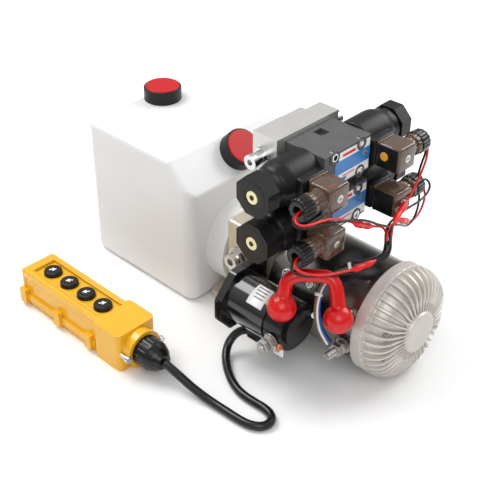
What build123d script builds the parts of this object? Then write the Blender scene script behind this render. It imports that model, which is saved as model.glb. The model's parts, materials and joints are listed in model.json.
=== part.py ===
from build123d import *
import math
import os

# Hydraulic power unit: gear pump in a plastic reservoir, manifold, valve tower
# with two stacked solenoid valves, DC motor, start contactor and a corded pendant.
# Frame: +X along the motor axis, from the tank towards the motor's end housing,
# +Y along the valves' long axis, +Z up. Z = 0 is the surface the unit stands on,
# and the origin is the centre of the mounting holes under the manifold.
# All sizes are in millimetres.

# ---- driving dimensions ----
MOTOR_Z = 62.0            # height of the motor and pump axis
FIT = 0.03                # radial clearance of a running fit
GAP = 0.3                 # clearance between pieces that move past each other

TANK_X = (-232.0, -62.0)
TANK_Y = (-73.0, 104.0)
TANK_H = 172.0
TANK_WALL = 3.5
TANK_BEVEL = 34.0         # sloping shoulder over the motor-side face
MOUTH_R = 45.0            # round neck that the pump passes through
NECK_WALL = 5.0
NECK_END = -36.0

CAP_X, CAP_Y = -211.0, 27.0
SIDE_CAP_Y = 16.0
CAP_R = 22.0
NECK_R = 16.0

MAN_X = (-35.0, 35.0)
MAN_Y = (-46.0, 46.0)
MAN_H = 116.0
FOOT_SPACING = (40.0, 60.0)
FOOT_HOLE_R = 3.4
FOOT_HOLE_DEPTH = 16.0

TOWER_X = (10.0, 35.0)
TOWER_Y = 46.5
TOWER_TOP = 236.0
TOWER_SHOULDER_Z = (140.0, 170.0)
CARTRIDGE_X, CARTRIDGE_Z = 18.5, 214.0
PORT_R = 8.3
PORT_DEPTH = 12.0
WORK_PORTS = ((22.5, 192.0), (22.5, 170.0), (-1.0, 155.0), (22.5, 148.0))   # x, z of each

VALVE_AXIS_X = 61.5
VALVE_ZS = (211.5, 160.7)
VALVE_HALF_Y = 35.0
VALVE_HALF_Z = 20.0
VALVE_FACE_X = 85.0
BOLT_Y, BOLT_Z = 20.25, 15.5    # mounting bolt pattern of a size 6 valve
SPOOL_R = 6.5
COIL_R = 23.0
COIL_END = 93.0
NUT_R = 20.0
NUT_END = 108.5
PIN_R = 5.5
PLUG_X = (91.0, 119.0)
PLUG_Y = (38.0, 66.0)
PLUG_HALF_Z = 13.5
PLUG_DROP = 1.5
GLAND_X = 105.0
GLAND_R = 9.5
GLAND_NUT_R = 12.0
GLAND_END = 96.0

MOTOR_X = (35.0, 152.0)
MOTOR_R = 56.0
MOTOR_WALL = 3.0
HOUSING_X = (148.0, 186.0)
HOUSING_R = 60.0
HOUSING_DISC_R = 21.5
HOUSING_END = 191.0
FIN_COUNT = 44
SHAFT_R = 8.0
BEARING_R = 17.0

GEAR_TEETH = 12
GEAR_MODULE = 2.0
GEAR_X = (-98.0, -82.0)
PUMP_X = (-108.0, -70.0)
PUMP_HALF_Y = 24.0
SPIGOT_END = -60.0

CAN_Y, CAN_Z = -86.0, 70.0
CAN_X = (30.0, 80.0)
CAN_R = 27.5
HEAD_END = 103.0
FLANGE_X = 25.0

PENDANT_X = (-202.0, -75.0)
PENDANT_BLOCK_X = (-75.0, -33.0)
PENDANT_Y = -178.0
PENDANT_HALF_Y = 21.0
PENDANT_BLOCK_HALF_Y = 25.5
PENDANT_H = 45.0
BUTTON_XS = (-173.0, -144.0, -115.0, -87.0)
BUTTON_R = 10.0
BUTTON_PROUD = 3.0         # height of a button above its channel

CORD_D = 9.0
LEAD_D = 2.4
LOOM_D = 8.0
LANE_R = 2.65             # the leads' circle in the loom's mouth
LANE_START = 200.0


# ---- small makers ----
def box(x0, x1, y0, y1, z0, z1):
    """A block between two corners."""
    size = Box(x1 - x0, y1 - y0, z1 - z0)
    return Pos((x0 + x1) / 2, (y0 + y1) / 2, (z0 + z1) / 2) * size


def rod_x(x0, x1, y, z, r):
    """A cylinder along X."""
    return Pos((x0 + x1) / 2, y, z) * Rot(0, 90, 0) * Cylinder(r, x1 - x0)


def rod_y(y0, y1, x, z, r):
    """A cylinder along Y."""
    low, high = min(y0, y1), max(y0, y1)
    return Pos(x, (low + high) / 2, z) * Rot(90, 0, 0) * Cylinder(r, high - low)


def rod_z(z0, z1, x, y, r):
    """A cylinder along Z."""
    return Pos(x, y, (z0 + z1) / 2) * Cylinder(r, z1 - z0)


def prism(sides, across, low, high, place):
    """A regular prism, its flats `across` apart, along the placed Z axis."""
    radius = across / 2 / math.cos(math.pi / sides)
    return place * Pos(0, 0, low) * extrude(RegularPolygon(radius, sides), high - low)


def hex_y(y0, y1, x, z, across):
    """A hexagonal bar along Y."""
    low, high = min(y0, y1), max(y0, y1)
    return prism(6, across, 0, high - low, Pos(x, low, z) * Rot(-90, 0, 0))


def turned_x(profile, y, z):
    """Turn a list of (x, r) points about the X axis through (y, z)."""
    points = [(x, r) for x, r in profile]
    face = make_face(Polyline(*[(x, 0, r) for x, r in points], close=True))
    return Pos(0, y, z) * revolve(face, Axis.X)


def save(node, *shapes):
    """Write one node, as one solid or as a group of separate solids."""
    solids = [s for shape in shapes for s in shape.solids()]
    shape = solids[0] if len(solids) == 1 else Compound(children=solids)
    export_step(shape, f"parts/{node}.step")


# ---- reservoir ----
def tank_block(inset):
    """The reservoir's outer form, or its cavity when inset by the wall."""
    x0, x1 = TANK_X[0] + inset, TANK_X[1] - inset
    y0, y1 = TANK_Y[0] + inset, TANK_Y[1] - inset
    z0, z1 = inset, TANK_H - inset
    body = box(x0, x1, y0, y1, z0, z1)
    top_edge = body.edges().filter_by(Axis.Y).sort_by(Axis.X)[-2:].sort_by(Axis.Z)[-1]
    body = chamfer(top_edge, TANK_BEVEL)
    upright = body.edges().filter_by(Axis.Z)
    body = fillet(upright, 14 - inset)
    rims = [e for e in body.edges() if abs(e.center().Z - z0) < 0.01]
    body = fillet(rims, 9 - inset)
    rims = [e for e in body.edges() if e.center().Z > z1 - TANK_BEVEL * 0.75]
    return fillet(rims, 6 - inset)


def bevel_place():
    """A place on the sloping shoulder, its Z axis square to the slope."""
    mid_x = TANK_X[1] - TANK_BEVEL / 2
    mid_z = TANK_H - TANK_BEVEL / 2
    return Pos(mid_x, SIDE_CAP_Y, mid_z) * Rot(0, 45, 0)


def tank():
    body = tank_block(0) - tank_block(TANK_WALL)
    body += rod_z(TANK_H - 2, TANK_H + 4, CAP_X, CAP_Y, NECK_R)
    body += bevel_place() * Pos(0, 0, 0.5) * Cylinder(NECK_R, 5)
    body -= rod_z(TANK_H - 12, TANK_H + 6, CAP_X, CAP_Y, NECK_R - 3)
    body -= bevel_place() * Cylinder(NECK_R - 3, 16)
    body += rod_x(TANK_X[1] - 1, NECK_END, 0, MOTOR_Z, MOUTH_R + NECK_WALL)
    return body - rod_x(TANK_X[1] - 8, NECK_END + 1, 0, MOTOR_Z, MOUTH_R)


def cap_shell():
    """A cap at the origin, its flange on Z = 0, with a stem into the neck."""
    shell = Pos(0, 0, 8) * Cylinder(CAP_R, 15.4)
    shell = fillet(shell.edges().sort_by(Axis.Z)[-1], 1.5)
    shell -= Pos(0, 0, 16) * Cylinder(CAP_R - 2, 4)
    shell -= Pos(0, 0, 2) * Cylinder(NECK_R + GAP + 0.2, 4.6)
    return shell + Pos(0, 0, -1.5) * Cylinder(NECK_R - 3 - GAP, 13)


def cap_disc():
    """The coloured insert in the top of a cap."""
    disc = Pos(0, 0, 15.4) * Cylinder(CAP_R - 2, 2.8)
    return fillet(disc.edges().sort_by(Axis.Z)[-1], 1.2)


# ---- pump inside the reservoir ----
def gear(phase):
    """A spur gear about X at the origin, with straight-flanked teeth."""
    pitch_r = GEAR_MODULE * GEAR_TEETH / 2
    tip_r, root_r = pitch_r + 1.6, pitch_r - 2.4
    flanks = ((root_r, 8.6), (pitch_r, 6.1), (tip_r, 2.9))
    points = []
    for tooth in range(GEAR_TEETH):
        middle = phase + tooth * 360 / GEAR_TEETH
        rising = [(r, middle - half) for r, half in flanks]
        falling = [(r, middle + half) for r, half in reversed(flanks)]
        for r, angle in rising + falling:
            turn = math.radians(angle)
            points.append((r * math.cos(turn), r * math.sin(turn)))
    outline = Plane.YZ * make_face(Polyline(*points, close=True))
    return Pos(GEAR_X[0], 0, 0) * extrude(outline, GEAR_X[1] - GEAR_X[0])


def pump():
    pitch = GEAR_MODULE * GEAR_TEETH
    low_z = MOTOR_Z - pitch
    tip_r = pitch / 2 + 1.6
    rim = tip_r + GAP
    low, high = low_z - 16, MOTOR_Z + 17
    body = box(PUMP_X[0], PUMP_X[1], -PUMP_HALF_Y, PUMP_HALF_Y, low, high)
    body = fillet(body.edges().filter_by(Axis.X), 10)
    x0, x1 = GEAR_X[0] - 0.1, GEAR_X[1] + 0.1
    pocket = rod_x(x0, PUMP_X[1] + 1, 0, MOTOR_Z, rim) + rod_x(x0, PUMP_X[1] + 1, 0, low_z, rim)
    shafts = rod_x(PUMP_X[0] + 4, x0 + 1, 0, MOTOR_Z, 5 + FIT)
    shafts += rod_x(PUMP_X[0] + 4, x0 + 1, 0, low_z, 5 + FIT)
    body = body - pocket - shafts
    mid = (MOTOR_Z + low_z) / 2
    inlet = rod_y(-PUMP_HALF_Y - 1, -8, (x0 + x1) / 2, mid, 6)
    outlet = rod_y(8, PUMP_HALF_Y + 1, (x0 + x1) / 2, mid, 4)
    body = body - inlet - outlet
    cover = (rod_x(x1, PUMP_X[1], 0, MOTOR_Z, rim - 0.05)
             + rod_x(x1, PUMP_X[1], 0, low_z, rim - 0.05))
    plate = box(PUMP_X[1], SPIGOT_END, -PUMP_HALF_Y, PUMP_HALF_Y, low, high)
    cover += fillet(plate.edges().filter_by(Axis.X), 10)
    cover -= rod_x(x1 - 1, -60, 0, MOTOR_Z, 5 + FIT)
    cover -= rod_x(x1 - 1, x1 + 6, 0, low_z, 5 + FIT)
    drive = Pos(0, 0, MOTOR_Z) * gear(0) + rod_x(PUMP_X[0] + 5, -32, 0, MOTOR_Z, 5)
    idler = Pos(0, 0, low_z) * gear(180 / GEAR_TEETH)
    idler += rod_x(PUMP_X[0] + 5, x1 + 5, 0, low_z, 5)
    suction = rod_y(-44, -18, -90, mid, 6) - rod_y(-44, -17, -90, mid, 4.5)
    suction += rod_z(26, mid + 6, -90, -50, 6)
    suction += rod_y(-50, -44, -90, mid, 6)
    suction -= rod_z(25, mid, -90, -50, 4.5)
    suction -= rod_y(-50, -40, -90, mid, 4.5)
    back = rod_x(-150, SPIGOT_END, 26, 88, 5) - rod_x(-151, SPIGOT_END + 1, 26, 88, 3.6)
    strainer = rod_z(6, 26, -90, -50, 14) - rod_z(5, 20, -90, -50, 11.5)
    save("pump_body", body)
    save("pump_cover", cover)
    save("pump_drive_gear", drive)
    save("pump_idler_gear", idler)
    save("tank_tubes", suction, back)
    save("suction_strainer", strainer)


# ---- manifold and valve tower ----
def manifold():
    block = box(MAN_X[0], MAN_X[1], MAN_Y[0], MAN_Y[1], 0, MAN_H)
    block = fillet(block.edges().filter_by(Axis.Z), 6)
    block = fillet([e for e in block.edges() if abs(e.center().Z - MAN_H) < 0.01], 4)
    foot = box(TANK_X[1] + 1, MAN_X[0] + 8, MAN_Y[0], MAN_Y[1], 0, 10)
    foot = fillet(foot.edges().filter_by(Axis.Z).sort_by(Axis.X)[:2], 5)
    block += foot
    block += rod_x(SPIGOT_END, MAN_X[0] + 1, 0, MOTOR_Z, MOUTH_R - 0.2)
    block -= rod_x(SPIGOT_END - 1, MAN_X[1] + 1, 0, MOTOR_Z, 14)
    for x in (-FOOT_SPACING[0] / 2, FOOT_SPACING[0] / 2):
        for y in (-FOOT_SPACING[1] / 2, FOOT_SPACING[1] / 2):
            block -= rod_z(-1, FOOT_HOLE_DEPTH, x, y, FOOT_HOLE_R)
    block -= rod_y(MAN_Y[0] - 1, MAN_Y[0] + 20, -14, 77, 8)
    for x, z in ((12, 96), (-14, 40)):
        block -= rod_y(MAN_Y[1] - 9, MAN_Y[1] + 1, x, z, 6)
    return block


def relief_cartridge():
    y0 = MAN_Y[0]
    body = rod_y(y0 + 19, y0, -14, 77, 7.8) + rod_y(y0, y0 - 4, -14, 77, 12)
    body += hex_y(y0 - 4, y0 - 9, -14, 77, 19) + rod_y(y0 - 9, y0 - 15, -14, 77, 8.5)
    return body - hex_y(y0 - 8, y0 - 16, -14, 77, 8)


def manifold_plugs():
    y0 = MAN_Y[1]
    plugs = []
    for x, z in ((12, 96), (-14, 40)):
        plug = rod_y(y0 - 8, y0, x, z, 5.9) + hex_y(y0, y0 + 6, x, z, 14)
        plugs.append(plug - hex_y(y0 + 2, y0 + 7, x, z, 6))
    return plugs


def valve_tower():
    low, high = TOWER_SHOULDER_Z
    block = box(TOWER_X[0], TOWER_X[1], -TOWER_Y, TOWER_Y, low, TOWER_TOP)
    block += box(-13, TOWER_X[1], -TOWER_Y, TOWER_Y, low, high)
    block += box(-8, 30, -36, 36, MAN_H, low + 1)
    block += box(3.7, TOWER_X[0] + 1, -TOWER_Y, 24, TOWER_TOP - 30, TOWER_TOP)
    for side in (-1, 1):
        block -= rod_y(side * (TOWER_Y - 16), side * (TOWER_Y + 1), CARTRIDGE_X, CARTRIDGE_Z, 6)
    for x, z in WORK_PORTS:
        block -= rod_y(TOWER_Y - PORT_DEPTH, TOWER_Y + 1, x, z, PORT_R)
    for z_mid in VALVE_ZS:
        for y in (-BOLT_Y, BOLT_Y):
            for z in (z_mid - BOLT_Z, z_mid + BOLT_Z):
                block -= rod_x(TOWER_X[1] - 12, TOWER_X[1] + 1, y, z, 2.5)
    return block


def tower_cartridges():
    pieces = []
    for side in (-1, 1):
        y0 = side * TOWER_Y
        body = rod_y(side * (TOWER_Y - 15), y0, CARTRIDGE_X, CARTRIDGE_Z, 5.9)
        body += rod_y(y0, y0 + side * 5, CARTRIDGE_X, CARTRIDGE_Z, 9.5)
        body += rod_y(y0 + side * 5, y0 + side * 14, CARTRIDGE_X, CARTRIDGE_Z, 7.0)
        body += rod_y(y0 + side * 14, y0 + side * 20, CARTRIDGE_X, CARTRIDGE_Z, 7.6)
        socket = hex_y(y0 + side * 14, y0 + side * 21, CARTRIDGE_X, CARTRIDGE_Z, 6)
        pieces.append(body - socket)
    return pieces


# ---- directional valves ----
def valve_body(z_mid):
    body = box(TOWER_X[1], VALVE_FACE_X, -VALVE_HALF_Y, VALVE_HALF_Y,
               z_mid - VALVE_HALF_Z, z_mid + VALVE_HALF_Z)
    body = fillet(body.edges().filter_by(Axis.Y), 1.5)
    body -= rod_y(-40, 40, VALVE_AXIS_X, z_mid, SPOOL_R + FIT)
    for y in (-BOLT_Y, BOLT_Y):
        for z in (z_mid - BOLT_Z, z_mid + BOLT_Z):
            body -= rod_x(TOWER_X[1] - 1, VALVE_FACE_X + 1, y, z, 2.7)
            body -= rod_x(VALVE_FACE_X - 5.5, VALVE_FACE_X + 1, y, z, 4.9)
    pocket_z = z_mid + VALVE_HALF_Z
    return body - box(42, 54, -2, 10, pocket_z - 5, pocket_z + 1)


def valve_spool(z_mid):
    spool = rod_y(-30, 30, VALVE_AXIS_X, z_mid, SPOOL_R)
    for y0, y1 in ((-20, -10), (-4, 4), (10, 20)):
        groove = rod_y(y0, y1, VALVE_AXIS_X, z_mid, 10)
        spool -= groove - rod_y(y0, y1, VALVE_AXIS_X, z_mid, 4)
    return spool


def coil(z_mid, side):
    """One solenoid's moulded coil, with the flat pad its plug stands on."""
    start, end = side * VALVE_HALF_Y, side * COIL_END
    body = rod_y(start, end, VALVE_AXIS_X, z_mid, COIL_R)
    low, high = min(side * 36, side * 72), max(side * 36, side * 72)
    body += box(VALVE_AXIS_X, PLUG_X[0], low, high, z_mid - 15, z_mid + 13)
    return body - rod_y(start, end, VALVE_AXIS_X, z_mid, 10.5)


def core_tube(z_mid, side):
    """The pressure tube that the coil slides over, with room for the plunger."""
    tube = rod_y(side * VALVE_HALF_Y, side * (COIL_END + 9), VALVE_AXIS_X, z_mid, 10.4)
    return tube - rod_y(side * 34, side * (COIL_END + 10), VALVE_AXIS_X, z_mid, PIN_R + FIT)


def coil_nut(z_mid, side):
    place = Pos(VALVE_AXIS_X, side * COIL_END, z_mid) * Rot(-90 * side, 0, 22.5)
    nut = prism(8, 2 * NUT_R, 0, NUT_END - COIL_END, place)
    nut -= rod_y(side * COIL_END, side * (COIL_END + 9.2), VALVE_AXIS_X, z_mid, 10.5)
    return nut - rod_y(side * COIL_END, side * 112, VALVE_AXIS_X, z_mid, 7.0)


def override_pin(z_mid, side):
    """The sprung manual override button at the end of a solenoid."""
    head = rod_y(side * (NUT_END - 3), side * (NUT_END + 0.5), VALVE_AXIS_X, z_mid, 6.6)
    return head + rod_y(side * (VALVE_HALF_Y + 2), side * (NUT_END - 2), VALVE_AXIS_X, z_mid, PIN_R)


def plug(z_mid, side):
    """A moulded plug with its cable gland, square to the coil."""
    z = z_mid - PLUG_DROP
    low, high = min(side * PLUG_Y[0], side * PLUG_Y[1]), max(side * PLUG_Y[0], side * PLUG_Y[1])
    cube = box(PLUG_X[0], PLUG_X[1], low, high, z - PLUG_HALF_Z, z + PLUG_HALF_Z)
    cube = fillet(cube.edges(), 1.5)
    cube += rod_y(side * (PLUG_Y[1] - 1), side * 84, GLAND_X, z, GLAND_R)
    cube += rod_y(side * 82, side * GLAND_END, GLAND_X, z, GLAND_NUT_R)
    cube -= rod_y(side * 88, side * (GLAND_END + 1), GLAND_X, z, 5)
    return cube - rod_x(PLUG_X[1] - 3, PLUG_X[1] + 1, side * 52, z, 4.2)


def plug_screw(z_mid, side):
    z = z_mid - PLUG_DROP
    screw = rod_x(PLUG_X[1] - 3, PLUG_X[1] + 0.3, side * 52, z, 3.6)
    return screw - box(PLUG_X[1] - 0.7, PLUG_X[1] + 1, side * 52 - 3, side * 52 + 3, z - 0.5, z + 0.5)


def valve_screw(y, z):
    screw = rod_x(TOWER_X[1] - 10, VALVE_FACE_X - 5, y, z, 2.45)
    screw += rod_x(VALVE_FACE_X - 5.5, VALVE_FACE_X - 0.5, y, z, 4.6)
    place = Pos(VALVE_FACE_X - 3, y, z) * Rot(0, 90, 0)
    return screw - prism(6, 4, 0, 4, place)


def valves():
    screws, plug_screws, tubes, nuts = [], [], [], []
    for number, z_mid in enumerate(VALVE_ZS, start=1):
        save(f"valve_{number}_body", valve_body(z_mid))
        save(f"valve_{number}_spool", valve_spool(z_mid))
        for side, word in ((-1, "left"), (1, "right")):
            save(f"valve_{number}_coil_{word}", coil(z_mid, side))
            save(f"override_pin_{number}_{word}", override_pin(z_mid, side))
            save(f"plug_{number}_{word}", plug(z_mid, side))
            tubes.append(core_tube(z_mid, side))
            nuts.append(coil_nut(z_mid, side))
            plug_screws.append(plug_screw(z_mid, side))
            for z in (z_mid - BOLT_Z, z_mid + BOLT_Z):
                screws.append(valve_screw(side * BOLT_Y, z))
    save("core_tubes", *tubes)
    save("coil_nuts", *nuts)
    save("plug_screws", *plug_screws)
    save("valve_screws", *screws)


# ---- motor ----
def motor_body():
    body = rod_x(MOTOR_X[0], MOTOR_X[1], 0, MOTOR_Z, MOTOR_R)
    body -= rod_x(MOTOR_X[0] + 8, MOTOR_X[1] + 1, 0, MOTOR_Z, MOTOR_R - MOTOR_WALL)
    body -= rod_x(MOTOR_X[0] - 1, MOTOR_X[0] + 9, 0, MOTOR_Z, BEARING_R)
    seam = rod_x(57, 58, 0, MOTOR_Z, MOTOR_R + 1) - rod_x(57, 58, 0, MOTOR_Z, MOTOR_R - 0.8)
    body -= seam
    for angle in (20, 160, 200, 340):
        y = 46 * math.cos(math.radians(angle))
        z = MOTOR_Z + 46 * math.sin(math.radians(angle))
        body -= rod_x(MOTOR_X[0] - 1, MOTOR_X[0] + 9, y, z, 3.0)
    return body


def end_housing():
    """A cast cup over the motor's end, with fins that run over its shoulder."""
    x0, x1 = HOUSING_X
    floor_r = HOUSING_R - 3.5
    profile = [(x0, MOTOR_R), (x0, HOUSING_R - 1), (x0 + 1, HOUSING_R), (x0 + 12, HOUSING_R),
               (x0 + 12, floor_r), (x1 - 18, floor_r), (x1 - 8, floor_r - 5),
               (x1 - 3, floor_r - 14), (x1 - 2, HOUSING_DISC_R), (HOUSING_END, HOUSING_DISC_R),
               (HOUSING_END, 0), (x1 - 14, 0), (x1 - 14, MOTOR_R - 16),
               (x1 - 22, MOTOR_R - 6), (MOTOR_X[1], MOTOR_R - 6), (MOTOR_X[1], MOTOR_R)]
    shell = turned_x(profile, 0, MOTOR_Z)
    fin = [(x0 + 11, HOUSING_R - 0.4), (x1 - 18, HOUSING_R - 0.4), (x1 - 7, HOUSING_R - 5),
           (x1 - 1, HOUSING_R - 15), (x1 + 1, HOUSING_DISC_R - 1),
           (x1 - 3, HOUSING_DISC_R - 1), (x1 - 4, floor_r - 15), (x1 - 9, floor_r - 6),
           (x1 - 19, floor_r - 1), (x0 + 11, floor_r - 1)]
    face = make_face(Polyline(*[(x, 0, r) for x, r in fin], close=True))
    blade = extrude(face, 1.1, both=True)
    fin_angles = [(step + 0.5) * 360 / FIN_COUNT for step in range(FIN_COUNT)]
    shell = shell.fuse(*[Pos(0, 0, MOTOR_Z) * Rot(angle, 0, 0) * blade for angle in fin_angles])
    shell -= rod_x(x1 - 15, x1 - 4, 0, MOTOR_Z, BEARING_R)
    for angle in (20, 160, 200, 340):
        y = 46 * math.cos(math.radians(angle))
        z = MOTOR_Z + 46 * math.sin(math.radians(angle))
        shell -= rod_x(x1 - 34, x1 + 2, y, z, 3.0)
        shell -= rod_x(x1 - 9, x1 + 3, y, z, 6.0)
    return shell


def motor_rotor():
    rotor = rod_x(-44, HOUSING_X[1] - 5, 0, MOTOR_Z, SHAFT_R)
    rotor += rod_x(62, 122, 0, MOTOR_Z, 36) + rod_x(132, 152, 0, MOTOR_Z, 16)
    return rotor - rod_x(-45, -31, 0, MOTOR_Z, 5)


def motor_bearings():
    rings = []
    for x0, x1 in ((MOTOR_X[0], MOTOR_X[0] + 8), (HOUSING_X[1] - 14, HOUSING_X[1] - 5)):
        ring = rod_x(x0, x1, 0, MOTOR_Z, BEARING_R) - rod_x(x0, x1, 0, MOTOR_Z, SHAFT_R + FIT)
        rings.append(ring)
    return rings


def motor_bolts():
    bolts = []
    for angle in (20, 160, 200, 340):
        y = 46 * math.cos(math.radians(angle))
        z = MOTOR_Z + 46 * math.sin(math.radians(angle))
        shank = rod_x(MOTOR_X[0] + 1, HOUSING_X[1] - 8, y, z, 2.9)
        bolts.append(shank + rod_x(HOUSING_X[1] - 9, HOUSING_X[1] - 4, y, z, 5.0))
    return bolts


def field_magnets():
    ring = rod_x(62, 122, 0, MOTOR_Z, MOTOR_R - MOTOR_WALL) - rod_x(62, 122, 0, MOTOR_Z, 42)
    keep = [Pos(92, 0, MOTOR_Z) * Rot(90 * k, 0, 0) * Pos(0, 0, 48) * Box(64, 44, 24)
            for k in range(4)]
    gaps = [rod_x(61, 123, 46 * math.cos(math.radians(a)),
                  MOTOR_Z + 46 * math.sin(math.radians(a)), 3.2) for a in (20, 160, 200, 340)]
    return [ring & block - gaps for block in keep]


# ---- start contactor ----
def flange_outline(x0, x1):
    """The rounded six-sided outline of the contactor's mounting plate."""
    points = [(CAN_Y - 33, 54), (CAN_Y - 33, 78), (CAN_Y - 11, 103), (MAN_Y[0], 103), (MAN_Y[0], 38),
              (CAN_Y - 20, 38)]
    face = make_face(Polyline(*[(x0, y, z) for y, z in points], close=True))
    plate = extrude(face, x1 - x0, dir=(1, 0, 0))
    return fillet(plate.edges().filter_by(Axis.X), 6)


def contactor_bracket():
    plate = flange_outline(FLANGE_X - 4, FLANGE_X)
    tab = box(FLANGE_X - 12, FLANGE_X, MAN_Y[0] - 4, MAN_Y[0], CAN_Z - 25, CAN_Z + 25)
    return plate + tab


def cord_clip():
    """A clip under the contactor that holds the pendant cord's end."""
    x, y, z = CORD_ROUTE[-1]
    clip = box(x - 7, x + 5, y - 8, y + 8, z - 7, CAN_Z - 20)
    clip = fillet(clip.edges().filter_by(Axis.X), 3)
    clip -= rod_x(x - 8, x + 6, CAN_Y, CAN_Z, CAN_R)
    return clip - cord("cord_clip_bore", CORD_ROUTE[-3:], CORD_D)


def contactor_can():
    ears = box(FLANGE_X, CAN_X[0], CAN_Y - 32, CAN_Y + 29, CAN_Z - 32, CAN_Z + 33)
    flange = flange_outline(FLANGE_X, CAN_X[0]) & ears
    can = flange + rod_x(CAN_X[0] - 1, CAN_X[1], CAN_Y, CAN_Z, CAN_R)
    return can - rod_x(CAN_X[0] + 4, CAN_X[1] + 1, CAN_Y, CAN_Z, CAN_R - 2.5)


def contactor_coil():
    spool = rod_x(CAN_X[0] + 5, CAN_X[1] - 6, CAN_Y, CAN_Z, CAN_R - 3)
    return spool - rod_x(CAN_X[0] + 4, CAN_X[1], CAN_Y, CAN_Z, 7 + GAP)


def contactor_plunger():
    plunger = rod_x(CAN_X[0] + 9, CAN_X[1] - 4, CAN_Y, CAN_Z, 7)
    return plunger + rod_x(CAN_X[1] - 4, CAN_X[1] + 6, CAN_Y, CAN_Z, 3) + rod_x(
        CAN_X[1] + 4, CAN_X[1] + 7, CAN_Y, CAN_Z, 11)


def contactor_head():
    head = rod_x(CAN_X[1], HEAD_END, CAN_Y, CAN_Z, CAN_R - 1.5)
    head += rod_x(HEAD_END - 1, HEAD_END + 4, CAN_Y, CAN_Z, 20)
    return head - rod_x(CAN_X[1] - 1, CAN_X[1] + 14, CAN_Y, CAN_Z, 16)


def stud(place, length):
    """A terminal stud with two nuts and a washer, along the placed Z axis."""
    post = place * Pos(0, 0, length / 2) * Cylinder(4, length)
    post += place * Pos(0, 0, 0.8) * Cylinder(8, 1.6)
    post += prism(6, 13, 1.6, 7.2, place)
    return post + prism(6, 13, 8.4, 14.0, place)


def terminal_studs():
    places = [Pos(93, CAN_Y - 26, CAN_Z - 6) * Rot(100, 0, 0),
              Pos(93, CAN_Y - 10, CAN_Z + 24) * Rot(23, 0, 0),
              Pos(140, -57.5, 52) * Rot(90, 0, 0),
              Pos(140, -50.5, 86.5) * Rot(62, 0, 0)]
    return [stud(place, length) for place, length in zip(places, (18, 17, 26, 17))]


def terminal_link():
    """The insulated copper link between contactor and motor, with its boots."""
    points = [(93, -98, 96), (90.5, -89, 126), (125.5, -60, 127.5), (140, -68, 92)]
    path = FilletPolyline(*points, radius=[10, 10])
    start = Plane(origin=points[0], z_dir=Vector(*points[1]) - Vector(*points[0]))
    link = sweep(start * Circle(6.5), path)
    for x, y, z in (points[0], points[-1]):
        link += Pos(x, y, z) * Sphere(14.0)
    link -= rod_x(CAN_X[0], HEAD_END + 6, CAN_Y, CAN_Z, CAN_R)
    link -= rod_x(MOTOR_X[0], MOTOR_X[1], 0, MOTOR_Z, MOTOR_R)
    return link - terminal_studs()


# ---- pendant ----
def pendant_housing():
    x0, x1 = PENDANT_X
    b0, b1 = PENDANT_BLOCK_X
    y = PENDANT_Y
    body = box(x0, x1 + 1, y - PENDANT_HALF_Y, y + PENDANT_HALF_Y, 0, PENDANT_H)
    body += box(x0 - 1, x1, y - PENDANT_HALF_Y - 3, y + PENDANT_HALF_Y + 3, 8, 16)
    block = box(b0, b1, y - PENDANT_BLOCK_HALF_Y, y + PENDANT_BLOCK_HALF_Y, 0, PENDANT_H + 1)
    body += fillet(block.edges().filter_by(Axis.Z), 6)
    for x in (x0 + 3, (x0 + x1) / 2, x1 - 10):
        for side in (-1, 1):
            centre = y + side * (PENDANT_HALF_Y + 3)
            body += box(x - 4, x + 6, centre - 3, centre + 3, 4, 22)
    neck = rod_x(b1 - 1, b1 + 11, y, 23, 21)
    body += neck & box(b1 - 1, b1 + 12, y - 30, y + 30, 1, 60)
    body -= box(x0 + 12, x1 + 3, y - 14.5, y + 14.5, PENDANT_H - 2, PENDANT_H + 5)
    body -= box(x0 + 4, b1 - 4, y - 17, y + 17, 3, PENDANT_H - 6)
    for x in BUTTON_XS:
        body -= rod_z(PENDANT_H - 8, PENDANT_H + 1, x, y, BUTTON_R + GAP)
    return body - rod_x(b1 - 5, b1 + 12, y, 23, 9) - pendant_screws()


def pendant_button(x):
    top = PENDANT_H + BUTTON_PROUD
    cap = rod_z(PENDANT_H - 8, top, x, PENDANT_Y, BUTTON_R)
    cap = fillet(cap.edges().sort_by(Axis.Z)[-1], 2)
    return cap + rod_z(PENDANT_H - 11, PENDANT_H - 7, x, PENDANT_Y, BUTTON_R + 2.5)


def pendant_gland():
    """The fluted compression nut and its tapered bend relief."""
    x0 = PENDANT_BLOCK_X[1] + 11
    y, z = PENDANT_Y, 23
    profile = [(x0, 0.01), (x0, 17), (x0 + 16, 16.5), (x0 + 24, 13), (x0 + 30, 8), (x0 + 31, 0.01)]
    body = turned_x(profile, y, z)
    for step in range(16):
        angle = math.radians(step * 22.5)
        body -= rod_x(x0 + 1, x0 + 14, y + 18.2 * math.cos(angle), z + 18.2 * math.sin(angle), 2)
    return body + rod_x(x0 - 14, x0 + 1, y, z, 8.7)


def pendant_screws():
    screws = []
    x = PENDANT_BLOCK_X[1]
    for side in (-1, 1):
        screw = rod_x(x, x + 12, PENDANT_Y + side * 22.5, 23, 2.2)
        screws.append(screw + rod_x(x + 9, x + 13, PENDANT_Y + side * 22.5, 23, 3.8))
    return screws


# ---- cords and leads ----
def corner_radii(points):
    """Each corner's arc: as large as its two runs allow."""
    radii = []
    for before, corner, after in zip(points, points[1:], points[2:]):
        run_in = Vector(*corner) - Vector(*before)
        run_out = Vector(*after) - Vector(*corner)
        turn = math.radians(run_in.get_angle(run_out))
        radii.append(0.45 * min(run_in.length, run_out.length) / math.tan(turn / 2))
    return radii


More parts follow.
